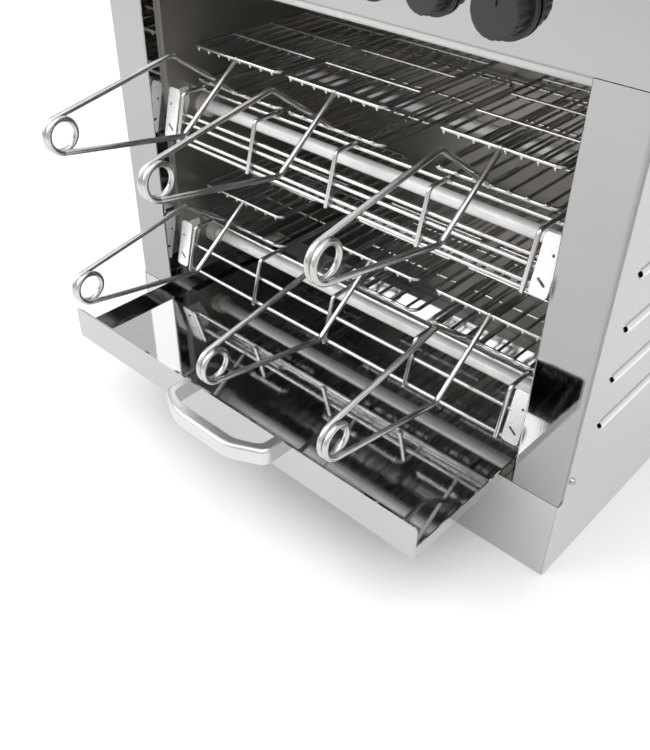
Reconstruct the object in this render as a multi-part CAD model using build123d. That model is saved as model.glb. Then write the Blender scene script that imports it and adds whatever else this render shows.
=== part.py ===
from build123d import *
import math
import os

# Two-level quartz toaster grill: a folded stainless cabinet, two wire racks,
# six quartz heating tubes, a pull-out crumb tray and six pairs of wire tongs.
#
# Millimetres, +Z up.  The geometry below is laid out in "cabinet coordinates":
# x from the left side, y from the front face towards the back, z from the
# underside.  Every piece is moved once, when it is written, so that the stored
# origin is the middle of the cabinet's underside.

os.makedirs("parts", exist_ok=True)

# ------------------------------------------------------------ driving sizes
W, D, H = 440.0, 260.0, 395.0      # cabinet width, depth, height
T = 1.0                            # sheet thickness
BASE_H = 68.2                      # height of the base box
PIL_L, PIL_R = 39.4, 403.0         # inner edges of the two front pillars
XC = (PIL_L + PIL_R) / 2           # middle of the cavity
CAV_L, CAV_R = 43.5, 398.9         # inner faces of the cavity walls
CAV_Y0, CAV_Y1 = 15.0, 236.0       # front and back of the cavity walls
CAV_TOP = 345.0                    # underside of the header
SIDE_Y0 = 4.6                      # side panels start this far behind the front

LEVEL = 117.0                      # pitch of the two toasting levels
RACK_Z = 130.0                     # height of the lower rack's long wires
RACK_WIRE, RACK_CROSS = 3.4, 3.0   # wire diameters of the racks
RACK_X = [XC + dx for dx in (-160.5, -80, 0, 80, 160.5)]

TUBE_D, TUBE_WALL = 10.5, 1.1      # quartz tubes
TUBE_Y = (50.0, 168.0)
TUBE_Z = (108.6, 226.0, 328.0)

TRAY_X0, TRAY_X1 = 45.2, 397.2     # crumb tray, outside
TRAY_OUT = 100.9                   # how far the tray is pulled out
TRAY_DEPTH = 228.0
TRAY_Z = 69.0
TRAY_T = 0.9
LIP_TOP = 96.6
TRAY_WALL = 10.0

HANDLE_X, HANDLE_W = 231.5, 94.0   # bow handle on the tray's lip
HANDLE_OUT, HANDLE_T = 30.8, 8.0
HANDLE_Z0, HANDLE_Z1 = 86.0, 99.0

TONG_WIRE, GRID_WIRE, BORDER_WIRE = 4.0, 2.2, 2.8
TONG_X = {"lower_left": 97.0, "lower_middle": 236.0, "lower_right": 343.0,
          "upper_left": 97.0, "upper_middle": 197.0, "upper_right": 333.0}
TONG_W = 95.0                      # width of one tong's two grids
COIL_YZ = (-116.0, 145.0)          # centre of the spring coil, lower level
COIL_R = 11.0                      # mean radius of the coil
COIL_PITCH = 4.3
APEX_YZ = (-16.5, 174.5)           # bend in the upper handle arm
BEND_YZ = (-18.5, 117.0)           # bend in the lower handle arm
BOTTOM_GRID_Z, TOP_GRID_Z = 133.4, 160.0
GRID_Y0, GRID_Y1 = 39.0, 206.0     # front and back of the grids
ARM_DX = 2.35                      # half the sideways distance of the arms

KNOB_Z = 370.0                     # height of the controls in the header


# ------------------------------------------------------------ helpers
def box(x0, x1, y0, y1, z0, z1):
    return Pos((x0 + x1) / 2, (y0 + y1) / 2, (z0 + z1) / 2) * Box(x1 - x0, y1 - y0, z1 - z0)


def rod(p, q, d):
    """A straight round bar from p to q."""
    p, q = Vector(*p), Vector(*q)
    axis = q - p
    return extrude(Plane(origin=p, z_dir=axis) * Circle(d / 2), amount=axis.length)


def bent(points, radii, d):
    """A round wire of straight runs joined by tangent arcs."""
    path = FilletPolyline(*[Vector(*p) for p in points], radius=radii)
    start = path.edges()[0]
    section = Plane(origin=path @ 0, z_dir=path % 0) * Circle(d / 2)
    return sweep(section, path=path)


def fuse(shapes):
    first, rest = shapes[0], shapes[1:]
    return first.fuse(*rest) if rest else first


def solid_of(shape):
    """The single solid that a fused shape should be."""
    s = shape.solids()
    return s[0] if len(s) == 1 else Compound(children=list(s))


SHIFT = Location((-W / 2, -D / 2, 0))


def write(name, *shapes):
    solids = []
    for s in shapes:
        solids += list(s.solids())
    moved = [s.moved(SHIFT) for s in solids]
    shape = moved[0] if len(moved) == 1 else Compound(children=moved)
    shape.label = name
    export_step(shape, f"parts/{name}.step")


def tube_along_x(x0, x1, y, z, r_out, r_in=0.0):
    s = Pos(x0, y, z) * Rot(0, 90, 0) * Cylinder(r_out, x1 - x0, align=(Align.CENTER, Align.CENTER, Align.MIN))
    if r_in:
        s = s - Pos(x0 - 1, y, z) * Rot(0, 90, 0) * Cylinder(r_in, x1 - x0 + 2, align=(Align.CENTER, Align.CENTER, Align.MIN))
    return s


def cyl_y(x, z, y0, y1, r):
    """A cylinder along Y."""
    return Pos(x, y0, z) * Rot(-90, 0, 0) * Cylinder(r, y1 - y0, align=(Align.CENTER, Align.CENTER, Align.MIN))


def cyl_x(y, z, x0, x1, r):
    return Pos(x0, y, z) * Rot(0, 90, 0) * Cylinder(r, x1 - x0, align=(Align.CENTER, Align.CENTER, Align.MIN))


# ------------------------------------------------------------ base
base = box(T, W - T, 0, D - T, 0, BASE_H)
base = fillet(base.edges().filter_by(Axis.Z).group_by(Axis.Y)[0], 1.2)
base = base - box(2 * T, W - 2 * T, T, D - 2 * T, -1, BASE_H - T)
gland_x, gland_z = 70.0, 34.0
base = base - cyl_y(gland_x, gland_z, D - 10, D + 1, 8.1)
# clearance holes in the deck for the two side screws' nuts and the wiring
base = base - (Pos(20, 200, BASE_H) * Cylinder(7, 6)) - (Pos(W - 20, 200, BASE_H) * Cylinder(7, 6))
for sx in (T, W - 2 * T):
    base = base - cyl_x(D - 9, 40.0, sx - 1, sx + T + 1, 1.3)
write("base_plinth", base)

bottom = box(2 * T + 0.15, W - 2 * T - 0.15, T + 0.15, D - 2 * T - 0.15, 0, T)
pads_xy = [(32, 28), (W - 32, 28), (32, D - 30), (W - 32, D - 30)]
for px, py in pads_xy:
    bottom = bottom - Pos(px, py, 0) * Cylinder(9.0, 10)
for i in range(7):
    for side in (-1, 1):
        cx = W / 2 + side * (60 + 14 * i)
        bottom = bottom - Pos(cx, D / 2, 0) * extrude(SlotOverall(60, 5, rotation=90), amount=6, both=True)
write("bottom_plate", bottom)

pads = []
for px, py in pads_xy:
    pad = Pos(px, py, 0) * Cylinder(8.8, 3.0, align=(Align.CENTER, Align.CENTER, Align.MIN))
    pad = pad + Pos(px, py, T) * Cylinder(11.0, 2.0, align=(Align.CENTER, Align.CENTER, Align.MIN))
    pads.append(pad)
write("rubber_feet", *pads)

# ------------------------------------------------------------ side panels with louvres
LOUVRE_Z = [120.3 + 38.0 * i for i in range(6)]
LOUVRE_Y0, LOUVRE_Y1 = 33.0, 223.0
SCREW_YZ = [(11.5, 85.2), (11.0, 374.0), (D - 9, 40.0), (D - 9, 205.0), (D - 9, 374.0)]


def side_panel(right):
    x0, x1 = (W - T, W) if right else (0, T)
    s = 1 if right else -1
    xo = W if right else 0.0
    p = box(x0, x1, 0, D, 0, H - T)
    p = p - box(x0 - 1, x1 + 1, -1, SIDE_Y0, BASE_H + 0.4, H)
    for z in LOUVRE_Z:
        # a half-round hood over a slot, open at its two ends
        hood = cyl_y(xo - s * 0.7, z, LOUVRE_Y0, LOUVRE_Y1, 3.2) - cyl_y(xo - s * 0.7, z, LOUVRE_Y0 - 1, LOUVRE_Y1 + 1, 2.3)
        keep = box(min(xo - s * T, xo + s * 9), max(xo - s * T, xo + s * 9), LOUVRE_Y0, LOUVRE_Y1, z - 9, z + 9)
        hood = hood & keep
        p = p - box(x0 - 0.1, x1 + 0.1, LOUVRE_Y0, LOUVRE_Y1, z - 2.7, z + 2.7)
        p = p + hood
    for y, z in SCREW_YZ:
        p = p - cyl_x(y, z, x0 - 1, x1 + 1, 1.7)
    return p


write("right_side_panel", side_panel(True))
write("left_side_panel", side_panel(False))

# ------------------------------------------------------------ rear panel and top cover
rear = box(T, W - T, D - T, D, 0, H - T)
rear = rear - cyl_y(gland_x, gland_z, D - 5, D + 5, 8.1)
for z in (360, 372):
    for i in range(9):
        x = 84 + 34 * i
        rear = rear - Pos(x, D - 0.5, z) * Rot(90, 0, 0) * extrude(SlotOverall(22, 4), amount=4, both=True)
for z in (24, 34, 44):
    for i in range(6):
        x = 180 + 34 * i
        rear = rear - Pos(x, D - 0.5, z) * Rot(90, 0, 0) * extrude(SlotOverall(22, 4), amount=4, both=True)
write("rear_panel", rear)

top = box(0, W, 0, D, H - T, H)
top = fillet(top.edges().filter_by(Axis.Z), 1.5)
for y in (70, 90, 170, 190):
    for i in range(8):
        x = 94 + 36 * i
        top = top - Pos(x, y, H - 0.5) * extrude(SlotOverall(24, 5), amount=3, both=True)
write("top_cover", top)

# ------------------------------------------------------------ pillars
PIL_Z0, PIL_Z1 = BASE_H + 0.5, CAV_TOP


def pillar(right):
    x0, x1 = (PIL_R, W - T) if right else (T, PIL_L)
    p = box(x0, x1, 0, 24, PIL_Z0, PIL_Z1)
    p = fillet(p.edges().filter_by(Axis.Z).group_by(Axis.Y)[0], 1.3)
    cut = box(x0 + T, x1 - T, T, 30, PIL_Z0 - 1, PIL_Z1 + 1)
    cut = fillet(cut.edges().filter_by(Axis.Z).group_by(Axis.Y)[0], 0.4)
    p = p - cut
    # the inner return is shorter than the outer one
    if right:
        p = p - box(x0 - 1, x0 + T + 0.01, CAV_Y0 + 1, 30, PIL_Z0 - 1, PIL_Z1 + 1)
    else:
        p = p - box(x1 - T - 0.01, x1 + 1, CAV_Y0 + 1, 30, PIL_Z0 - 1, PIL_Z1 + 1)
    xa, xb = (W - 2 * T, W - T) if right else (T, 2 * T)
    p = p - cyl_x(11.5, 85.2, xa - 1, xb + 1, 1.3)
    return p


write("right_front_pillar", pillar(True))
write("left_front_pillar", pillar(False))

# ------------------------------------------------------------ header with the controls
TIMER_X, SEL_X, LAMP_X = 352.0, (262.0, 306.0), (196.0, 218.0)
fascia = box(T, W - T, 0, 20, CAV_TOP + 0.5, H - T)
fascia = fillet(fascia.edges().filter_by(Axis.Z).group_by(Axis.Y)[0], 1.3)
fcut = box(2 * T, W - 2 * T, T, 30, CAV_TOP, H + 5)
fcut = fillet(fcut.edges().filter_by(Axis.Z).group_by(Axis.Y)[0], 0.4)
fascia = fascia - fcut
fascia = fascia - cyl_y(TIMER_X, KNOB_Z, -1, 3, 5.2)
for x in SEL_X:
    fascia = fascia - cyl_y(x, KNOB_Z, -1, 3, 5.2)
for x in LAMP_X:
    fascia = fascia - cyl_y(x, KNOB_Z, -1, 3, 5.1)
fascia = fascia - cyl_x(11.0, 374.0, 0, 4, 1.3) - cyl_x(11.0, 374.0, W - 4, W, 1.3)
write("control_fascia", fascia)


def knob(x, r, length):
    """A turned knob on its own spindle; the spindle turns in the switch's bush."""
    k = cyl_y(x, KNOB_Z, -2.0 - length, -1.0, r)
    k = fillet(k.edges().filter_by(GeomType.CIRCLE).group_by(Axis.Y)[0], 2.0)
    skirt = cyl_y(x, KNOB_Z, -4.0, -1.0, r + 2.6)
    skirt = fillet(skirt.edges().filter_by(GeomType.CIRCLE).group_by(Axis.Y)[0], 1.2)
    k = k + skirt
    n = 18
    for i in range(n):
        a = 2 * math.pi * i / n
        if i == n // 4:
            continue
        k = k - cyl_y(x + (r + 1.4) * math.cos(a), KNOB_Z + (r + 1.4) * math.sin(a), -3.0 - length, -5.2, 2.2)
    # pointer rib across the face, from the middle to the rim
    k = k + box(x - 1.1, x + 1.1, -2.9 - length, -2.0 - length + 1.5, KNOB_Z + 2.0, KNOB_Z + r - 2.5)
    k = k + cyl_y(x, KNOB_Z, -1.5, 12.0, 3.0)
    return k


write("timer_knob", knob(TIMER_X, 15.0, 14.0))
write("upper_heat_knob", knob(SEL_X[0], 12.0, 13.0))
write("lower_heat_knob", knob(SEL_X[1], 12.0, 13.0))


def switch_body(x, w, h, depth):
    b = box(x - w / 2, x + w / 2, T, T + depth, KNOB_Z - h / 2, KNOB_Z + h / 2)
    b = fillet(b.edges().filter_by(Axis.Y), 2.5)
    b = b + cyl_y(x, KNOB_Z, -0.4, T + 1, 5.0)
    b = b - cyl_y(x, KNOB_Z, -2, T + 14, 3.06)
    for sx in (-1, 1):
        b = b + box(x + sx * w * 0.28 - 3, x + sx * w * 0.28 + 3, T + depth, T + depth + 8, KNOB_Z - 0.4, KNOB_Z + 0.4)
    return b


write("timer_body", switch_body(TIMER_X, 40, 40, 30))
write("selector_switches", *[switch_body(x, 30, 32, 26) for x in SEL_X])

lamps = []
for x in LAMP_X:
    l = cyl_y(x, KNOB_Z, -2.4, 0.0, 6.4)
    l = fillet(l.edges().filter_by(GeomType.CIRCLE).group_by(Axis.Y)[0], 1.8)
    l = l + cyl_y(x, KNOB_Z, -0.5, 16, 5.0)
    lamps.append(l)
write("pilot_lamps", *lamps)

# ------------------------------------------------------------ cavity lining
def cavity_wall(right):
    xi = CAV_R if right else CAV_L
    xa, xb = (xi, xi + T) if right else (xi - T, xi)
    w = box(xa, xb, CAV_Y0, CAV_Y1 + T, BASE_H, CAV_TOP)
    if right:
        w = w + box(xb - 0.01, PIL_R, CAV_Y0, CAV_Y0 + T, BASE_H + 0.5, CAV_TOP)
    else:
        w = w + box(PIL_L, xa + 0.01, CAV_Y0, CAV_Y0 + T, BASE_H + 0.5, CAV_TOP)
    for y in TUBE_Y:
        for z in TUBE_Z:
            w = w - cyl_x(y, z, xa - 1, xb + 1, 9.1)
    return w


write("right_cavity_wall", cavity_wall(True))
write("left_cavity_wall", cavity_wall(False))
write("rear_reflector", box(CAV_L, CAV_R, CAV_Y1, CAV_Y1 + T, BASE_H, CAV_TOP - T))
ceiling = box(CAV_L, CAV_R, T + 0.2, CAV_Y1 + T, CAV_TOP - T, CAV_TOP)
ceiling = ceiling + box(PIL_L + 0.0, PIL_R, T + 0.2, CAV_Y0, CAV_TOP - T, CAV_TOP)
write("ceiling_reflector", ceiling)

guides = []
for right in (False, True):
    xa = CAV_R - 7 if right else CAV_L
    g = box(xa, xa + 7, 20, CAV_Y1 - 4, 80.6, 81.6)
    xw = CAV_R - T if right else CAV_L
    g = g + box(xw, xw + T, 20, CAV_Y1 - 4, 80.6, 90.0)
    guides.append(g)
write("tray_guides", *guides)

# ------------------------------------------------------------ heaters
X_CAP = 9.0
for z, name in zip(TUBE_Z, ("lower", "middle", "upper")):
    write(f"quartz_tubes_{name}", *[tube_along_x(CAV_L + 3.0, CAV_R - 3.0, y, z, TUBE_D / 2, TUBE_D / 2 - TUBE_WALL) for y in TUBE_Y])

coils, caps = [], []
for y in TUBE_Y:
    for z in TUBE_Z:
        coils.append(cyl_x(y, z, CAV_L + 4.0, CAV_R - 4.0, 3.2))
        for right in (False, True):
            if right:
                c = cyl_x(y, z, CAV_R - X_CAP, CAV_R + 12, 9.0) - cyl_x(y, z, CAV_R - X_CAP - 1, CAV_R - 2.9, TUBE_D / 2 + 0.06)
                c = c - cyl_x(y, z, CAV_R - 4, CAV_R + 20, 1.6)
            else:
                c = cyl_x(y, z, CAV_L - 12, CAV_L + X_CAP, 9.0) - cyl_x(y, z, CAV_L + 2.9, CAV_L + X_CAP + 1, TUBE_D / 2 + 0.06)
                c = c - cyl_x(y, z, CAV_L - 20, CAV_L + 4, 1.6)
            caps.append(c)
write("heater_coils", *coils)
write("tube_end_caps", *caps)

terminal = box(40, 100, 196, 214, T, 22)
for i in range(4):
    terminal = terminal - (Pos(49 + 14 * i, 205, 22) * Cylinder(3.4, 12))
write("terminal_block", terminal)

gland = cyl_y(gland_x, gland_z, D - 14, D + 6, 8.0) + extrude(
    Plane(origin=(gland_x, D, gland_z), z_dir=(0, 1, 0)) * RegularPolygon(11.5, 6), amount=5.0)
gland = gland + cyl_y(gland_x, gland_z, D - 7, D - 2 * T, 11.0)
gland = gland - cyl_y(gland_x, gland_z, D - 20, D + 12, 4.2)
write("cable_gland", gland)

# ------------------------------------------------------------ racks with their leaning guards
G_BOT, G_TOP = (6.6, 91.4), (16.6, RACK_Z)   # the upright's lower end and its bend
g_dir = Vector(0, G_TOP[0] - G_BOT[0], G_TOP[1] - G_BOT[1]).normalized()
g_in = Vector(0, g_dir.Z, -g_dir.Y)          # square to the guard, towards the back
X_OFF = (RACK_WIRE + RACK_CROSS) / 2 - 0.35


def on_guard(z):
    t = (z - G_BOT[1]) / (G_TOP[1] - G_BOT[1])
    y = G_BOT[0] + t * (G_TOP[0] - G_BOT[0])
    return y + g_in.Y * X_OFF, z + g_in.Z * X_OFF


def rack(level):
    dz = LEVEL * level
    wires = []
    for x in RACK_X:
        wires.append(bent([(x, G_BOT[0], G_BOT[1] + dz), (x, G_TOP[0], RACK_Z + dz), (x, CAV_Y1 - 2.5, RACK_Z + dz)], 4.2, RACK_WIRE))
    xa, xb = RACK_X[0] - 3.0, RACK_X[-1] + 3.4
    cross = []
    for z in (114.6, 94.0):
        y, zz = on_guard(z)
        cross.append(rod((xa, y, zz + dz), (xb, y, zz + dz), RACK_CROSS))
    for y in (38.0, CAV_Y1 - 6.0):
        z = RACK_Z - X_OFF + dz
        # the long carriers reach the walls, where they rest in the brackets
        cross.append(rod((CAV_L + 0.4, y, z), (CAV_R - 0.4, y, z), RACK_CROSS))
    if level == 1:
        y, zz = on_guard(108.6)
        cross.append(rod((xa, y, zz + dz), (xb, y, zz + dz), RACK_CROSS))
        y, zz = on_guard(98.4)
        cross.append(rod((xa, y, zz + dz), (xb, y, zz + dz), RACK_CROSS))
    return fuse(wires + cross)


write("lower_rack", rack(0))
write("upper_rack", rack(1))


def end_plate(level, right):
    """A bright plate in the guard's plane that hides the tube's end, with a
    flange that runs back along the cavity wall."""
    dz = LEVEL * level
    z0, z1 = 93.2, 131.5
    y_of = lambda z: G_BOT[0] + (z - G_BOT[1]) / (G_TOP[1] - G_BOT[1]) * (G_TOP[0] - G_BOT[0])
    xa, xb = (385.8, CAV_R - 0.2) if right else (CAV_L + 0.2, 56.6)
    length = math.hypot(z1 - z0, y_of(z1) - y_of(z0))
    pl = Plane(origin=((xa + xb) / 2, (y_of(z0) + y_of(z1)) / 2, (z0 + z1) / 2 + dz), x_dir=(1, 0, 0), z_dir=(0, -g_dir.Z, g_dir.Y))
    sk = RectangleRounded(xb - xa, length, 2.6)
    sk = sk - Pos(0, -length * 0.27) * SlotOverall(7.5, 2.0, rotation=-35)
    sk = sk - Pos((2.6 if right else -2.6), length * 0.18) * Circle(1.1)
    plate = extrude(pl * sk, amount=0.5, both=True)
    xw = CAV_R - 0.2 - T if right else CAV_L + 0.2
    prof = Polyline((y_of(z0 + 4), z0 + 4 + dz), (y_of(z1 - 4), z1 - 4 + dz), (34.5, z1 - 4 + dz), (34.5, z0 + 22 + dz), (26.0, z0 + 4 + dz), close=True)
    flange = extrude(Plane(origin=(xw, 0, 0), x_dir=(0, 1, 0), z_dir=(1, 0, 0)) * make_face(prof), amount=T)
    plate = plate + flange
    return plate


for lv, nm in ((0, "lower"), (1, "upper")):
    write(f"guard_end_plates_{nm}", end_plate(lv, False), end_plate(lv, True))

# ------------------------------------------------------------ crumb tray
ty0 = -TRAY_OUT
ty1 = ty0 + TRAY_DEPTH
tray = box(TRAY_X0, TRAY_X1, ty0, ty1, TRAY_Z, TRAY_Z + TRAY_WALL)
tray = tray - box(TRAY_X0 + TRAY_T, TRAY_X1 - TRAY_T, ty0 + TRAY_T, ty1 - TRAY_T, TRAY_Z + TRAY_T, TRAY_Z + 40)
lip = extrude(Plane(origin=(XC, ty0 + 1.0, (TRAY_Z + LIP_TOP) / 2), x_dir=(1, 0, 0), z_dir=(0, -1, 0))
              * Rectangle(TRAY_X1 - TRAY_X0, LIP_TOP - TRAY_Z), amount=1.0)
lip = fillet(lip.edges().filter_by(Axis.Y).group_by(Axis.Z)[-1], 3.5)
tray = tray + lip
# folded hem behind the lip's upper edge
tray = tray + box(TRAY_X0 + 6, TRAY_X1 - 6, ty0 + 0.9, ty0 + 1.9, LIP_TOP - 8, LIP_TOP - 0.3)
write("crumb_tray", tray)

# bow handle: a bar of crescent plan, thicker in the middle, welded to the lip at both ends
def crescent(points, radii):
    """A closed outline whose front corners are rounded one by one."""
    face = make_face(Polyline(*points, close=True))
    for (px, py), r in radii:
        corner = [v for v in face.vertices() if abs(v.X - px) < 0.01 and abs(v.Y - py) < 0.01]
        face = fillet(corner, r)
    return face


outer = crescent([(HANDLE_X - 49.0, ty0), (HANDLE_X - 48.5, ty0 - 19.6), (HANDLE_X - 25.5, ty0 - HANDLE_OUT),
                  (HANDLE_X + 26.5, ty0 - HANDLE_OUT), (HANDLE_X + 53.0, ty0 - 17.6), (HANDLE_X + 53.5, ty0)],
                 [((HANDLE_X - 48.5, ty0 - 19.6), 9.0), ((HANDLE_X - 25.5, ty0 - HANDLE_OUT), 40.0),
                  ((HANDLE_X + 26.5, ty0 - HANDLE_OUT), 40.0), ((HANDLE_X + 53.0, ty0 - 17.6), 9.0)])
inner = crescent([(HANDLE_X - 42.0, ty0 + 5.0), (HANDLE_X - 41.2, ty0 - 17.4), (HANDLE_X - 26.5, ty0 - HANDLE_OUT + HANDLE_T),
                  (HANDLE_X + 26.5, ty0 - HANDLE_OUT + HANDLE_T + 0.6), (HANDLE_X + 45.3, ty0 - 13.4), (HANDLE_X + 46.0, ty0 + 5.0)],
                 [((HANDLE_X - 41.2, ty0 - 17.4), 7.0), ((HANDLE_X - 26.5, ty0 - HANDLE_OUT + HANDLE_T), 30.0),
                  ((HANDLE_X + 26.5, ty0 - HANDLE_OUT + HANDLE_T + 0.6), 30.0), ((HANDLE_X + 45.3, ty0 - 13.4), 8.0)])
handle = Pos(0, 0, HANDLE_Z0) * extrude(outer, amount=HANDLE_Z1 - HANDLE_Z0)
bow = [e for e in handle.edges() if abs(e.center().Y - ty0) > 0.01]
handle = fillet([e for e in bow if abs(e.center().Z - HANDLE_Z1) < 0.01], 3.0)
handle = fillet([e for e in handle.edges() if abs(e.center().Z - HANDLE_Z0) < 0.01 and abs(e.center().Y - ty0) > 0.01], 1.6)
hole = Pos(0, 0, HANDLE_Z0 - 1) * extrude(inner, amount=HANDLE_Z1 - HANDLE_Z0 + 2)
handle = handle - hole
write("tray_handle", handle)


# ------------------------------------------------------------ tongs
def tangent_point(target, upper):
    cy, cz = COIL_YZ
    dy, dz = target[0] - cy, target[1] - cz
    d = math.hypot(dy, dz)
    base_angle = math.atan2(dz, dy)
    off = math.acos(COIL_R / d)
    a = base_angle + (off if upper else -off)
    return a, (cy + COIL_R * math.cos(a), cz + COIL_R * math.sin(a))


a_up, P_UP = tangent_point(APEX_YZ, True)
a_lo, P_LO = tangent_point(BEND_YZ, False)
TURN = (2 * math.pi - (a_up - a_lo)) + 2 * 2 * math.pi     # three passes round the front
COIL_LEN = COIL_PITCH * TURN / (2 * math.pi)


def coil_solid():
    """The spring between the two handle arms: nearly three turns about X."""
    helix = Helix(pitch=COIL_PITCH, height=COIL_LEN, radius=COIL_R, lefthand=True)
    section = Plane(origin=helix @ 0, z_dir=helix % 0) * Circle(TONG_WIRE / 2)
    body = sweep(section, path=helix, is_frenet=True)
    frame = Plane(origin=(-COIL_LEN / 2, COIL_YZ[0], COIL_YZ[1]), x_dir=(0, math.cos(a_lo), math.sin(a_lo)), z_dir=(1, 0, 0))
    return frame.location * body


def border(z, y0, y1, half, d, r):
    """A closed rectangular loop of wire."""
    outline = Plane(origin=(0, (y0 + y1) / 2, z)) * RectangleRounded(2 * half, y1 - y0, r)
    path = outline.faces()[0].outer_wire()
    section = Plane(origin=path @ 0, z_dir=path % 0) * Circle(d / 2)
    return sweep(section, path=path)


HALF = (TONG_W - BORDER_WIRE) / 2


def bottom_grid():
    """Lower toast grid, carried by the handle's upper arm."""
    z = BOTTOM_GRID_Z
    x1 = COIL_LEN / 2
    arm = bent([(x1, P_UP[0], P_UP[1]), (ARM_DX + 1.2, APEX_YZ[0], APEX_YZ[1]), (ARM_DX, GRID_Y0 + 1.0, z + 0.65), (ARM_DX, GRID_Y0 + 34, z + 0.65)], [9.0, 5.0], TONG_WIRE)
    parts = [border(z, GRID_Y0, GRID_Y1, HALF, BORDER_WIRE, 6.0)]
    zt = z + (BORDER_WIRE + GRID_WIRE) / 2 - 0.35
    n = 7
    for i in range(n):
        x = -HALF + (i + 0.5) * 2 * HALF / n
        parts.append(rod((x, GRID_Y0 - 3.2, zt), (x, GRID_Y1 + 3.0, zt), GRID_WIRE))
    for y in (GRID_Y0 + 56, GRID_Y0 + 111):
        parts.append(rod((-HALF, y, z), (HALF, y, z), GRID_WIRE))
    return fuse([arm] + parts)


def top_grid():
    """Upper toast grid, carried by the handle's lower arm."""
    z = TOP_GRID_Z
    x0 = -COIL_LEN / 2
    arm = bent([(x0, P_LO[0] + 0.6, P_LO[1] - 0.17), (-ARM_DX - 1.2, BEND_YZ[0], BEND_YZ[1]), (-ARM_DX, GRID_Y0 + 1.0, z + 0.4), (-ARM_DX, GRID_Y0 + 34, z + 0.4)], [9.0, 5.0], TONG_WIRE)
    parts = [border(z, GRID_Y0, GRID_Y1, HALF, BORDER_WIRE, 6.0)]
    zb = z - (BORDER_WIRE + GRID_WIRE) / 2 + 0.35
    n = 8
    for i in range(n):
        x = -HALF + (i + 0.5) * 2 * HALF / n
        parts.append(rod((x, GRID_Y0 - 1.0, zb), (x, GRID_Y1 + 1.0, zb), GRID_WIRE))
    for y in (GRID_Y0 + 42, GRID_Y0 + 84, GRID_Y0 + 126):
        parts.append(rod((-HALF, y, z), (HALF, y, z), GRID_WIRE))
    return fuse([arm] + parts)


grid_lo, grid_up, coil = bottom_grid(), top_grid(), coil_solid()
for name, x in TONG_X.items():
    dz = LEVEL if name.startswith("upper") else 0.0
    loc = Location((x, 0, dz))
    write(f"{name}_tong_bottom_grid", grid_lo.moved(loc))
    write(f"{name}_tong_top_grid", grid_up.moved(loc))
    write(f"{name}_tong_spring", coil.moved(loc))

# ------------------------------------------------------------ fasteners
screws = []
for right in (False, True):
    xo = W if right else 0.0
    s = 1 if right else -1
    for y, z in SCREW_YZ:
        head = cyl_x(y, z, min(xo, xo + s * 1.8), max(xo, xo + s * 1.8), 2.7)
        head = fillet(head.edges().filter_by(GeomType.CIRCLE).group_by(Axis.X)[-1 if right else 0], 1.0)
        xs = (xo - s * 3.0, xo + s * 0.2)
        shank = cyl_x(y, z, min(xs), max(xs), 1.25)
        cross_a = box(min(xo + s * 0.9, xo + s * 3), max(xo + s * 0.9, xo + s * 3), y - 1.5, y + 1.5, z - 0.3, z + 0.3)
        cross_b = box(min(xo + s * 0.9, xo + s * 3), max(xo + s * 0.9, xo + s * 3), y - 0.3, y + 0.3, z - 1.5, z + 1.5)
        screws.append(head + shank - cross_a - cross_b)
write("casing_screws", *screws)
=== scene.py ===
import math

import bmesh
import bpy
from mathutils import Matrix, Vector


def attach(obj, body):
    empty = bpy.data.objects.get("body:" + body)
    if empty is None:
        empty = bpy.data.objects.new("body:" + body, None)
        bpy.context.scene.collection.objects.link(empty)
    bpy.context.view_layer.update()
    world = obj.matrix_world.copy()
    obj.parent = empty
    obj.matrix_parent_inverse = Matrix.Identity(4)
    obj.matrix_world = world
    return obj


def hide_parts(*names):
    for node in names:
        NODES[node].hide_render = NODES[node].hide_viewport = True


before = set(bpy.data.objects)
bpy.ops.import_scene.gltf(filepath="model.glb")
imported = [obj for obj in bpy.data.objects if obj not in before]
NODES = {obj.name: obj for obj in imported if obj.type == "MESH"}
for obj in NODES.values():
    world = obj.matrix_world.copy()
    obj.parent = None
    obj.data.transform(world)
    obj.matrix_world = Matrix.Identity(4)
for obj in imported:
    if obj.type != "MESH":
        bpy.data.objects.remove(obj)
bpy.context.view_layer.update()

MM = 0.001
OX, OY = -220.0, -130.0          # cabinet coordinates to the row frame, in mm


def P(x, y, z):
    """A point given in cabinet coordinates (mm), in the row frame (m)."""
    return Vector(((x + OX) * MM, (y + OY) * MM, z * MM))


# ============================================================ materials
def new_material(name):
    m = bpy.data.materials.new(name)
    m.use_nodes = True
    nt = m.node_tree
    nt.nodes.clear()
    out = nt.nodes.new("ShaderNodeOutputMaterial")
    bsdf = nt.nodes.new("ShaderNodeBsdfPrincipled")
    nt.links.new(bsdf.outputs[0], out.inputs[0])
    return m, nt, bsdf


def node(nt, kind, **props):
    n = nt.nodes.new(kind)
    for k, v in props.items():
        setattr(n, k, v)
    return n


def noise(nt, vec, scale, detail=4.0, rough=0.55, distortion=0.0):
    n = node(nt, "ShaderNodeTexNoise")
    n.inputs["Scale"].default_value = scale
    n.inputs["Detail"].default_value = detail
    n.inputs["Roughness"].default_value = rough
    n.inputs["Distortion"].default_value = distortion
    nt.links.new(vec, n.inputs["Vector"])
    return n.outputs["Fac"]


def mapped(nt, scale=(1, 1, 1), rot=(0, 0, 0)):
    tc = node(nt, "ShaderNodeTexCoord")
    mp = node(nt, "ShaderNodeMapping")
    mp.inputs["Scale"].default_value = scale
    mp.inputs["Rotation"].default_value = rot
    nt.links.new(tc.outputs["Object"], mp.inputs["Vector"])
    return mp.outputs["Vector"]


def ramp(nt, fac, stops):
    r = node(nt, "ShaderNodeValToRGB")
    els = r.color_ramp.elements
    while len(els) < len(stops):
        els.new(0.5)
    for e, (pos, col) in zip(els, stops):
        e.position = pos
        e.color = col if len(col) == 4 else (*col, 1)
    nt.links.new(fac, r.inputs[0])
    return r.outputs["Color"]


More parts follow.
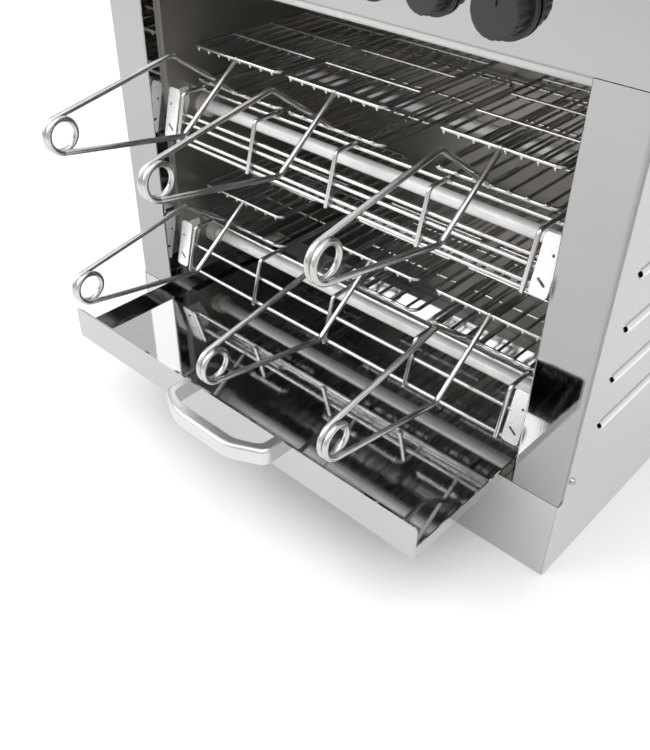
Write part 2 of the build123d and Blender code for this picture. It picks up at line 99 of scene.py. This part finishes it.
def maprange(nt, fac, a, b, lo, hi):
    r = node(nt, "ShaderNodeMapRange")
    r.inputs["From Min"].default_value = a
    r.inputs["From Max"].default_value = b
    r.inputs["To Min"].default_value = lo
    r.inputs["To Max"].default_value = hi
    nt.links.new(fac, r.inputs["Value"])
    return r.outputs["Result"]


def math_node(nt, op, a, b):
    n = node(nt, "ShaderNodeMath", operation=op)
    for i, v in enumerate((a, b)):
        if isinstance(v, (int, float)):
            n.inputs[i].default_value = v
        else:
            nt.links.new(v, n.inputs[i])
    return n.outputs[0]


def bump(nt, bsdf, height, strength, distance):
    b = node(nt, "ShaderNodeBump")
    b.inputs["Strength"].default_value = strength
    b.inputs["Distance"].default_value = distance
    nt.links.new(height, b.inputs["Height"])
    nt.links.new(b.outputs["Normal"], bsdf.inputs["Normal"])
    return b


def sheet_steel(name, lo, hi, rough, grain=(1, 1, 1), grain_amount=0.05, wave=0.0, tint=(1, 1, 1), smudge=0.05):
    """Stainless sheet: a fine directional grain, faint rolling marks and smudges."""
    m, nt, bsdf = new_material(name)
    g = noise(nt, mapped(nt, grain), 900.0, 3.0, 0.6)
    s = noise(nt, mapped(nt), 9.0, 5.0, 0.6, 0.3)
    col = ramp(nt, s, [(0.25, tuple(lo * t for t in tint)), (0.75, tuple(hi * t for t in tint))])
    nt.links.new(col, bsdf.inputs["Base Color"])
    bsdf.inputs["Metallic"].default_value = 1.0
    r1 = maprange(nt, g, 0.3, 0.7, rough - grain_amount, rough + grain_amount)
    r2 = maprange(nt, s, 0.35, 0.75, 0.0, smudge)
    nt.links.new(math_node(nt, "ADD", r1, r2), bsdf.inputs["Roughness"])
    h = g
    if wave:
        w = noise(nt, mapped(nt), 14.0, 2.0, 0.5)
        h = math_node(nt, "ADD", math_node(nt, "MULTIPLY", g, 0.02), math_node(nt, "MULTIPLY", w, wave))
        bump(nt, bsdf, h, 0.5, 0.001)
    else:
        bump(nt, bsdf, h, 0.035, 0.0002)
    return m


def side_steel(name, lo, hi, rough, louvre_highlight):
    """Brushed casing steel; the pressed louvres stand proud and carry a painted highlight: their raised tops are
    painted near-white.
    """
    m, nt, bsdf = new_material(name)
    g = noise(nt, mapped(nt, (1, 0.02, 1)), 900.0, 3.0, 0.6)
    s = noise(nt, mapped(nt), 9.0, 5.0, 0.6, 0.3)
    col = ramp(nt, s, [(0.25, (lo, lo, lo)), (0.75, (hi, hi, hi))])
    tc = node(nt, "ShaderNodeTexCoord")
    sep = node(nt, "ShaderNodeSeparateXYZ")
    nt.links.new(tc.outputs["Object"], sep.inputs[0])
    proud = maprange(nt, math_node(nt, "ABSOLUTE", sep.outputs["X"], 0.0), 0.2203, 0.2216, 0.0, 1.0)
    # painted highlight: where the louvres stand proud, the base colour is mixed to a near-white tone that stands in for
    # the highlight along each bump
    mix = node(nt, "ShaderNodeMix", data_type="RGBA")
    nt.links.new(proud, mix.inputs[0])
    nt.links.new(col, mix.inputs[6])
    mix.inputs[7].default_value = (louvre_highlight, louvre_highlight, louvre_highlight, 1)
    nt.links.new(mix.outputs[2], bsdf.inputs["Base Color"])
    bsdf.inputs["Metallic"].default_value = 1.0
    r1 = maprange(nt, g, 0.3, 0.7, rough - 0.03, rough + 0.03)
    r2 = maprange(nt, s, 0.35, 0.75, 0.0, 0.05)
    r3 = math_node(nt, "MULTIPLY", proud, 0.12)
    nt.links.new(math_node(nt, "ADD", math_node(nt, "ADD", r1, r2), r3), bsdf.inputs["Roughness"])
    bump(nt, bsdf, g, 0.035, 0.0002)
    return m


def wire_steel(name, lo, hi, rough, warm=0.0):
    """Drawn bright wire: fine lengthwise draw marks, slightly heat-tinted patches."""
    m, nt, bsdf = new_material(name)
    s = noise(nt, mapped(nt), 55.0, 4.0, 0.6)
    f = noise(nt, mapped(nt), 1500.0, 2.0, 0.5)
    a = (lo, lo * (1 - 0.5 * warm), lo * (1 - warm))
    b = (hi, hi * (1 - 0.25 * warm), hi * (1 - 0.5 * warm))
    nt.links.new(ramp(nt, s, [(0.3, a), (0.72, b)]), bsdf.inputs["Base Color"])
    bsdf.inputs["Metallic"].default_value = 1.0
    nt.links.new(maprange(nt, s, 0.3, 0.75, rough * 0.75, rough * 1.35), bsdf.inputs["Roughness"])
    bump(nt, bsdf, f, 0.05, 0.0002)
    return m


def plastic(name, col, rough, speck=0.15, scale=1400.0):
    m, nt, bsdf = new_material(name)
    f = noise(nt, mapped(nt), scale, 3.0, 0.6)
    c = noise(nt, mapped(nt), 30.0, 3.0, 0.5)
    lo = tuple(v * (1 - speck) for v in col)
    hi = tuple(min(1, v * (1 + speck)) for v in col)
    nt.links.new(ramp(nt, c, [(0.3, lo), (0.7, hi)]), bsdf.inputs["Base Color"])
    nt.links.new(maprange(nt, c, 0.3, 0.7, rough * 0.9, rough * 1.12), bsdf.inputs["Roughness"])
    bump(nt, bsdf, f, 0.12, 0.0001)
    return m


def aluminised(name):
    """Aluminised sheet: bright, slightly chalky, with a fine spangle."""
    m, nt, bsdf = new_material(name)
    s = noise(nt, mapped(nt), 60.0, 4.0, 0.6)
    v = node(nt, "ShaderNodeTexVoronoi")
    v.inputs["Scale"].default_value = 420.0
    nt.links.new(mapped(nt), v.inputs["Vector"])
    nt.links.new(ramp(nt, s, [(0.3, (0.86, 0.86, 0.85)), (0.7, (0.93, 0.93, 0.93))]), bsdf.inputs["Base Color"])
    bsdf.inputs["Metallic"].default_value = 0.35
    nt.links.new(maprange(nt, s, 0.3, 0.7, 0.22, 0.34), bsdf.inputs["Roughness"])
    bump(nt, bsdf, v.outputs["Distance"], 0.05, 0.0003)
    return m


MAT = {}
MAT["front"] = sheet_steel("steel_front", 0.36, 0.38, 0.035, grain=(1, 1, 0.02), grain_amount=0.012, smudge=0.02)
MAT["plinth"] = sheet_steel("steel_plinth", 0.55, 0.58, 0.07, grain=(0.02, 1, 1), grain_amount=0.02, smudge=0.03)
# last value: the near-white painted highlight on the louvre tops
MAT["side"] = side_steel("steel_side", 0.58, 0.62, 0.15, 0.96)
MAT["rear"] = sheet_steel("steel_rear", 0.56, 0.60, 0.18, grain=(0.02, 1, 1), grain_amount=0.03)
MAT["top"] = sheet_steel("steel_top", 0.58, 0.63, 0.22, grain=(0.02, 1, 1))
MAT["bottom"] = sheet_steel("steel_bottom", 0.45, 0.5, 0.35, grain=(0.02, 1, 1))
MAT["lining"] = sheet_steel("steel_lining", 0.30, 0.48, 0.36, wave=0.25, tint=(1.0, 0.95, 0.88), smudge=0.2)
MAT["plate"] = aluminised("aluminised_plate")
MAT["tray"] = sheet_steel("steel_tray", 0.48, 0.52, 0.03, grain=(0.02, 1, 1), grain_amount=0.01, wave=0.025, smudge=0.04)
MAT["handle"] = sheet_steel("steel_handle", 0.61, 0.67, 0.22, grain=(0.02, 1, 1), grain_amount=0.03)
MAT["rack"] = wire_steel("wire_rack", 0.58, 0.70, 0.23, warm=0.05)
MAT["tong"] = wire_steel("wire_tong", 0.52, 0.65, 0.21, warm=0.06)
MAT["screw"] = wire_steel("screw_steel", 0.45, 0.6, 0.22)
MAT["switch"] = plastic("switch_phenolic", (0.035, 0.035, 0.038), 0.5)
MAT["knob"] = plastic("knob_phenolic", (0.018, 0.018, 0.019), 0.36, 0.2)
MAT["gland"] = plastic("gland_nylon", (0.02, 0.02, 0.021), 0.5)
MAT["rubber"] = plastic("foot_rubber", (0.02, 0.02, 0.02), 0.75, 0.2, 700.0)
MAT["ceramic"] = plastic("cap_ceramic", (0.62, 0.60, 0.55), 0.42, 0.08, 500.0)


def quartz():
    """Frosted quartz: milky, with a soft skin gloss."""
    m, nt, bsdf = new_material("quartz_frosted")
    s = noise(nt, mapped(nt, (0.15, 1, 1)), 120.0, 4.0, 0.6)
    nt.links.new(ramp(nt, s, [(0.3, (0.90, 0.90, 0.90)), (0.7, (0.96, 0.96, 0.96))]), bsdf.inputs["Base Color"])
    nt.links.new(maprange(nt, s, 0.3, 0.7, 0.2, 0.32), bsdf.inputs["Roughness"])
    bsdf.inputs["IOR"].default_value = 1.46
    bsdf.inputs["Transmission Weight"].default_value = 0.1
    bsdf.inputs["Coat Weight"].default_value = 0.5
    bsdf.inputs["Coat Roughness"].default_value = 0.08
    bump(nt, bsdf, noise(nt, mapped(nt), 900.0, 2.0), 0.1, 0.0002)
    return m


MAT["quartz"] = quartz()


def lens():
    m, nt, bsdf = new_material("lamp_lens")
    s = noise(nt, mapped(nt), 260.0, 2.0)
    nt.links.new(ramp(nt, s, [(0.3, (0.62, 0.10, 0.02)), (0.7, (0.80, 0.20, 0.04))]), bsdf.inputs["Base Color"])
    bsdf.inputs["Roughness"].default_value = 0.15
    bsdf.inputs["Coat Weight"].default_value = 0.6
    bump(nt, bsdf, noise(nt, mapped(nt), 700.0, 1.0), 0.2, 0.0003)
    return m


MAT["lens"] = lens()


def paint(names, key):
    for n in names:
        o = NODES[n]
        o.data.materials.clear()
        o.data.materials.append(MAT[key])


paint(["left_front_pillar", "right_front_pillar", "control_fascia"], "front")
paint(["base_plinth"], "plinth")
paint(["left_side_panel", "right_side_panel"], "side")
paint(["rear_panel"], "rear")
paint(["top_cover"], "top")
paint(["bottom_plate"], "bottom")
paint(["left_cavity_wall", "right_cavity_wall", "rear_reflector", "ceiling_reflector", "tray_guides"], "lining")
paint(["guard_end_plates_lower", "guard_end_plates_upper"], "plate")
paint(["quartz_tubes_lower", "quartz_tubes_middle", "quartz_tubes_upper"], "quartz")
paint(["heater_coils", "casing_screws"], "screw")
paint(["tube_end_caps"], "ceramic")
paint(["timer_body", "selector_switches", "terminal_block"], "switch")
paint(["timer_knob", "upper_heat_knob", "lower_heat_knob"], "knob")
paint(["pilot_lamps"], "lens")
paint(["cable_gland"], "gland")
paint(["rubber_feet"], "rubber")
paint(["crumb_tray"], "tray")
paint(["tray_handle"], "handle")


def smooth(o, angle=32.0):
    """Smooth shading on a mesh with its real edges kept sharp."""
    for poly in o.data.polygons:
        poly.use_smooth = True
    with bpy.context.temp_override(object=o, active_object=o, selected_objects=[o], selected_editable_objects=[o]):
        bpy.ops.object.shade_smooth_by_angle(angle=math.radians(angle))


# ============================================================ wires
def filleted(points, radii, arc=9):
    """A polyline's corners replaced by arcs; points are Vectors in metres."""
    pts = [points[0]]
    for i in range(1, len(points) - 1):
        a, b, c = points[i - 1], points[i], points[i + 1]
        r = radii[i - 1] if isinstance(radii, (list, tuple)) else radii
        u, v = (a - b).normalized(), (c - b).normalized()
        ang = u.angle(v)
        if ang > math.pi - 1e-3:
            pts.append(b)
            continue
        d = r / math.tan(ang / 2)
        bis = (u + v).normalized()
        centre = b + bis * (r / math.sin(ang / 2))
        s, e = b + u * d, b + v * d
        a0, a1 = s - centre, e - centre
        tot = a0.angle(a1)
        axis = a0.cross(a1).normalized()
        for k in range(arc + 1):
            pts.append(centre + Matrix.Rotation(tot * k / arc, 3, axis) @ a0)
    pts.append(points[-1])
    return pts


def add_tube(bm, pts, radius, closed=False, sides=14, dome=(True, True), radii=None):
    """Sweeps a round section along pts into bm, with domed ends."""
    pts = [Vector(p) for p in pts]
    rs = list(radii) if radii else [radius] * len(pts)
    if not closed:
        lead, tail = [], []
        if dome[0]:
            t = (pts[1] - pts[0]).normalized()
            lead = [(pts[0], rs[0] * 0.30), (pts[0] + t * rs[0] * 0.12, rs[0] * 0.72), (pts[0] + t * rs[0] * 0.42, rs[0] * 0.95)]
            pts[0] = pts[0] + t * rs[0] * 0.75
        if dome[1]:
            t = (pts[-1] - pts[-2]).normalized()
            end, r = pts[-1].copy(), rs[-1]
            pts[-1] = end - t * r * 0.75
            tail = [(end - t * r * 0.42, r * 0.95), (end - t * r * 0.12, r * 0.72), (end, r * 0.30)]
        allp = [p for p, _ in lead] + pts + [p for p, _ in tail]
        allr = [r for _, r in lead] + rs + [r for _, r in tail]
    else:
        allp, allr = pts, rs
    n = len(allp)
    rings = []
    t0 = (allp[1] - allp[0]).normalized()
    ref = Vector((0, 0, 1)) if abs(t0.z) < 0.9 else Vector((1, 0, 0))
    nrm = (ref - t0 * ref.dot(t0)).normalized()
    prev_t = t0
    for i in range(n):
        if closed:
            t = (allp[(i + 1) % n] - allp[i - 1]).normalized()
        elif i == 0:
            t = t0
        elif i == n - 1:
            t = (allp[-1] - allp[-2]).normalized()
        else:
            t = ((allp[i + 1] - allp[i]).normalized() + (allp[i] - allp[i - 1]).normalized()).normalized()
        ax = prev_t.cross(t)
        if ax.length > 1e-9:
            nrm = Matrix.Rotation(prev_t.angle(t), 3, ax.normalized()) @ nrm
        nrm = (nrm - t * nrm.dot(t)).normalized()
        bi = t.cross(nrm)
        prev_t = t
        ring = []
        for k in range(sides):
            a = 2 * math.pi * k / sides
            ring.append(bm.verts.new(allp[i] + (nrm * math.cos(a) + bi * math.sin(a)) * allr[i]))
        rings.append(ring)
    pairs = list(zip(rings, rings[1:])) + ([(rings[-1], rings[0])] if closed else [])
    for ra, rb in pairs:
        off = 0
        if closed and ra is rings[-1]:
            off = min(range(sides), key=lambda o: sum((ra[k].co - rb[(k + o) % sides].co).length for k in range(sides)))
        for k in range(sides):
            bm.faces.new((ra[k], ra[(k + 1) % sides], rb[(k + 1 + off) % sides], rb[(k + off) % sides]))
    if not closed:
        bm.faces.new(list(reversed(rings[0])))
        bm.faces.new(rings[-1])


def add_bead(bm, c, r, squash=0.7):
    """A small weld bead."""
    m = Matrix.Translation(c) @ Matrix.Diagonal((r, r, r * squash, 1))
    bmesh.ops.create_icosphere(bm, subdivisions=2, radius=1.0, matrix=m)


def finish_mesh(bm, name, mat, angle=40.0):
    bmesh.ops.recalc_face_normals(bm, faces=bm.faces)
    me = bpy.data.meshes.new(name)
    bm.to_mesh(me)
    bm.free()
    o = bpy.data.objects.new(name, me)
    bpy.context.scene.collection.objects.link(o)
    me.materials.append(mat)
    smooth(o, angle)
    return o


# ---- the tongs, in cabinet coordinates at x = 0 on the lower level
COIL = (-116.0, 145.0)
COIL_R, COIL_PITCH, WIRE_R = 11.0, 4.3, 2.0
APEX, BEND = (-16.5, 174.5), (-18.5, 117.0)
BOT_Z, TOP_Z = 133.4, 160.0
GY0, GY1, HALF = 39.0, 206.0, (95.0 - 2.8) / 2
ARM_DX, LEVEL = 2.35, 117.0


def tangent(target, upper):
    dy, dz = target[0] - COIL[0], target[1] - COIL[1]
    d = math.hypot(dy, dz)
    off = math.acos(COIL_R / d)
    a = math.atan2(dz, dy) + (off if upper else -off)
    return a, (COIL[0] + COIL_R * math.cos(a), COIL[1] + COIL_R * math.sin(a))


A_UP, P_UP = tangent(APEX, True)
A_LO, P_LO = tangent(BEND, False)
TURN = (2 * math.pi - (A_UP - A_LO)) + 2 * math.pi
COIL_LEN = COIL_PITCH * TURN / (2 * math.pi)


def on_coil(t):
    """t runs from 0 at the lower arm to 1 at the upper arm."""
    a = A_LO - TURN * t
    return (COIL_LEN / 2 - COIL_LEN * t, COIL[0] + COIL_R * math.cos(a), COIL[1] + COIL_R * math.sin(a))


def grid_loop(z, x, dz, r=6.0):
    pts = []
    for cx, cy, a0 in ((HALF - r, GY0 + r, -90), (HALF - r, GY1 - r, 0), (-HALF + r, GY1 - r, 90), (-HALF + r, GY0 + r, 180)):
        for k in range(9):
            a = math.radians(a0 + 90 * k / 8)
            pts.append(P(x + cx + r * math.cos(a), cy + r * math.sin(a), z + dz))
    return pts


def tong(name, x, dz):
    # carried by the tong's own body: bottom grid, upper arm and spring, one wire
    bm = bmesh.new()
    z = BOT_Z
    coil_pts = [P(x + c[0], c[1], c[2] + dz) for c in (on_coil(i / 150) for i in range(151))]
    arm = [P(x - COIL_LEN / 2, P_UP[0], P_UP[1] + dz), P(x - ARM_DX - 1.2, APEX[0], APEX[1] + dz),
           P(x - ARM_DX, GY0 + 1, z + 0.65 + dz), P(x - ARM_DX, GY0 + 34, z + 0.65 + dz)]
    arm_pts = filleted(arm, [9 * MM, 5 * MM], 12)
    add_tube(bm, coil_pts + arm_pts[1:], WIRE_R * MM, sides=16, dome=(False, True))
    add_tube(bm, grid_loop(z, x, dz), 1.4 * MM, closed=True)
    zt = z + 2.15
    for i in range(7):
        gx = -HALF + (i + 0.5) * 2 * HALF / 7
        add_tube(bm, [P(x + gx, GY0 - 3.2, zt + dz), P(x + gx, GY1 + 3.0, zt + dz)], 1.1 * MM, sides=12)
        for wy in (GY0, GY1):
            add_bead(bm, P(x + gx, wy, z + 1.3 + dz), 1.5 * MM, 0.75)
    for wy in (GY0 + 56, GY0 + 111):
        add_tube(bm, [P(x - HALF, wy, z + dz), P(x + HALF, wy, z + dz)], 1.1 * MM, sides=12, dome=(False, False))
    for wx in (-HALF, HALF):
        for wy in (GY0 + 56, GY0 + 111):
            add_bead(bm, P(x + wx, wy, z + dz), 1.55 * MM, 1.0)
    add_bead(bm, P(x - ARM_DX, GY0, z + 0.4 + dz), 2.5 * MM, 0.8)
    o = finish_mesh(bm, f"{name}_tong_wire_and_bottom_grid", MAT["tong"])
    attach(o, f"{name}_tong")
    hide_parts(f"{name}_tong_bottom_grid", f"{name}_tong_spring")

    # the jaw: top grid and lower arm; its first few degrees hide inside the spring's end
    bm = bmesh.new()
    z = TOP_Z
    lead = [on_coil(t) for t in (0.018, 0.012, 0.006)]
    arm = [P(x + COIL_LEN / 2, P_LO[0], P_LO[1] + dz), P(x + ARM_DX + 1.2, BEND[0], BEND[1] + dz),
           P(x + ARM_DX, GY0 + 1, z + 0.4 + dz), P(x + ARM_DX, GY0 + 34, z + 0.4 + dz)]
    arm_pts = filleted(arm, [9 * MM, 5 * MM], 12)
    pts = [P(x + c[0], c[1], c[2] + dz) for c in lead] + arm_pts
    rr = [WIRE_R * 0.93 * MM] * 3 + [WIRE_R * 0.99 * MM] + [WIRE_R * MM] * (len(arm_pts) - 1)
    add_tube(bm, pts, WIRE_R * MM, sides=16, dome=(False, True), radii=rr)
    add_tube(bm, grid_loop(z, x, dz), 1.4 * MM, closed=True)
    zb = z - 2.15
    for i in range(8):
        gx = -HALF + (i + 0.5) * 2 * HALF / 8
        add_tube(bm, [P(x + gx, GY0 - 1.0, zb + dz), P(x + gx, GY1 + 1.0, zb + dz)], 1.1 * MM, sides=12)
        for wy in (GY0, GY1):
            add_bead(bm, P(x + gx, wy, z - 1.3 + dz), 1.5 * MM, 0.75)
    for wy in (GY0 + 42, GY0 + 84, GY0 + 126):
        add_tube(bm, [P(x - HALF, wy, z + dz), P(x + HALF, wy, z + dz)], 1.1 * MM, sides=12, dome=(False, False))
        for wx in (-HALF, HALF):
            add_bead(bm, P(x + wx, wy, z + dz), 1.55 * MM, 1.0)
    add_bead(bm, P(x + ARM_DX, GY0, z + 0.4 + dz), 2.5 * MM, 0.8)
    o = finish_mesh(bm, f"{name}_tong_top_grid_wire", MAT["tong"])
    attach(o, f"{name}_tong_jaw")
    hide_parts(f"{name}_tong_top_grid")


for n, x in {"lower_left": 97.0, "lower_middle": 236.0, "lower_right": 343.0,
             "upper_left": 97.0, "upper_middle": 197.0, "upper_right": 333.0}.items():
    tong(n, x, LEVEL if n.startswith("upper") else 0.0)

# ---- the racks
RACK_Z, XC = 130.0, 221.2
RACK_X = [XC + d for d in (-160.5, -80, 0, 80, 160.5)]
G_BOT, G_TOP = (6.6, 91.4), (16.6, RACK_Z)
gl = math.hypot(G_TOP[0] - G_BOT[0], G_TOP[1] - G_BOT[1])
GD = ((G_TOP[0] - G_BOT[0]) / gl, (G_TOP[1] - G_BOT[1]) / gl)
X_OFF = (3.4 + 3.0) / 2 - 0.35
CAV_L, CAV_R, CAV_Y1 = 43.5, 398.9, 236.0


def on_guard(z):
    t = (z - G_BOT[1]) / (G_TOP[1] - G_BOT[1])
    return G_BOT[0] + t * (G_TOP[0] - G_BOT[0]) + GD[1] * X_OFF, z - GD[0] * X_OFF


def rack(level):
    dz = LEVEL * level
    bm = bmesh.new()
    guard = [114.6, 94.0] + ([108.6, 98.4] if level else [])
    for x in RACK_X:
        pts = filleted([P(x, G_BOT[0], G_BOT[1] + dz), P(x, G_TOP[0], RACK_Z + dz), P(x, CAV_Y1 - 2.5, RACK_Z + dz)], 4.2 * MM, 10)
        add_tube(bm, pts, 1.7 * MM, sides=16)
    for z in guard:
        y, zz = on_guard(z)
        add_tube(bm, [P(RACK_X[0] - 3.0, y, zz + dz), P(RACK_X[-1] + 3.4, y, zz + dz)], 1.5 * MM)
        for x in RACK_X:
            add_bead(bm, P(x, y - GD[1] * X_OFF * 0.5, zz + GD[0] * X_OFF * 0.5 + dz), 1.75 * MM, 1.0)
    for y in (38.0, CAV_Y1 - 6.0):
        z = RACK_Z - X_OFF + dz
        add_tube(bm, [P(CAV_L + 0.4, y, z), P(CAV_R - 0.4, y, z)], 1.5 * MM)
        for x in RACK_X:
            add_bead(bm, P(x, y, z + X_OFF * 0.5), 1.8 * MM, 0.9)
    name = "upper_rack" if level else "lower_rack"
    o = finish_mesh(bm, name + "_wires", MAT["rack"])
    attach(o, "cabinet")
    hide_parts(name)


rack(0)
rack(1)

# ============================================================ floor, light, camera
floor_mat, nt, bsdf = new_material("floor")
fs = noise(nt, mapped(nt), 3.0, 3.0)
nt.links.new(ramp(nt, fs, [(0.3, (0.86, 0.86, 0.86)), (0.7, (0.88, 0.88, 0.88))]), bsdf.inputs["Base Color"])
bsdf.inputs["Roughness"].default_value = 0.6
bsdf.inputs["Specular IOR Level"].default_value = 0.2
bm = bmesh.new()
bmesh.ops.create_grid(bm, x_segments=1, y_segments=1, size=14.0)
me = bpy.data.meshes.new("floor")
bm.to_mesh(me)
bm.free()
me.materials.append(floor_mat)
floor = bpy.data.objects.new("floor", me)
bpy.context.scene.collection.objects.link(floor)

scene = bpy.context.scene
world = bpy.data.worlds.new("studio")
scene.world = world
world.use_nodes = True
wn = world.node_tree
bg = wn.nodes.get("Background") or wn.nodes.new("ShaderNodeBackground")
tc = wn.nodes.new("ShaderNodeTexCoord")
sep = wn.nodes.new("ShaderNodeSeparateXYZ")
wn.links.new(tc.outputs["Generated"], sep.inputs[0])
wr = wn.nodes.new("ShaderNodeValToRGB")
wr.color_ramp.elements[0].position = 0.0
wr.color_ramp.elements[0].color = (0.62, 0.62, 0.63, 1)
wr.color_ramp.elements[1].position = 0.8
wr.color_ramp.elements[1].color = (1.0, 1.0, 1.0, 1)
wn.links.new(sep.outputs["Z"], wr.inputs[0])
wn.links.new(wr.outputs[0], bg.inputs["Color"])
bg.inputs["Strength"].default_value = 1.0


def softbox(name, direction, distance, size, radiance, target=(0.0, -0.05, 0.15)):
    d = Vector(direction).normalized()
    data = bpy.data.lights.new(name, "AREA")
    data.shape = "RECTANGLE"
    data.size, data.size_y = size
    data.energy = radiance * math.pi * size[0] * size[1]
    o = bpy.data.objects.new(name, data)
    o.location = Vector(target) + d * distance
    o.rotation_mode = "QUATERNION"
    o.rotation_quaternion = (-d).to_track_quat("-Z", "Y")
    scene.collection.objects.link(o)
    return o


softbox("key", (-0.55, -0.60, 0.62), 2.0, (1.5, 1.2), 3.8)
softbox("overhead", (0.30, -0.25, 1.0), 2.2, (1.8, 1.8), 1.8)

cam_data = bpy.data.cameras.new("camera")
cam = bpy.data.objects.new("camera", cam_data)
scene.collection.objects.link(cam)
scene.camera = cam
cam_data.sensor_width = 36.0
cam_data.lens = 41.51
cam_data.clip_start, cam_data.clip_end = 0.02, 60.0
R0, R1, R2 = (0.73502, 0.67793, 0.01233), (0.42171, -0.44284, -0.79124), (-0.53094, 0.58678, -0.61139)
rot = Matrix(((R0[0], -R1[0], -R2[0]), (R0[1], -R1[1], -R2[1]), (R0[2], -R1[2], -R2[2])))
cam.matrix_world = Matrix.Translation((0.3734, -0.5326, 0.4875)) @ rot.to_4x4()

scene.view_settings.view_transform = "Standard"
scene.view_settings.look = "None"
scene.view_settings.exposure = 0.0
scene.view_settings.gamma = 1.0
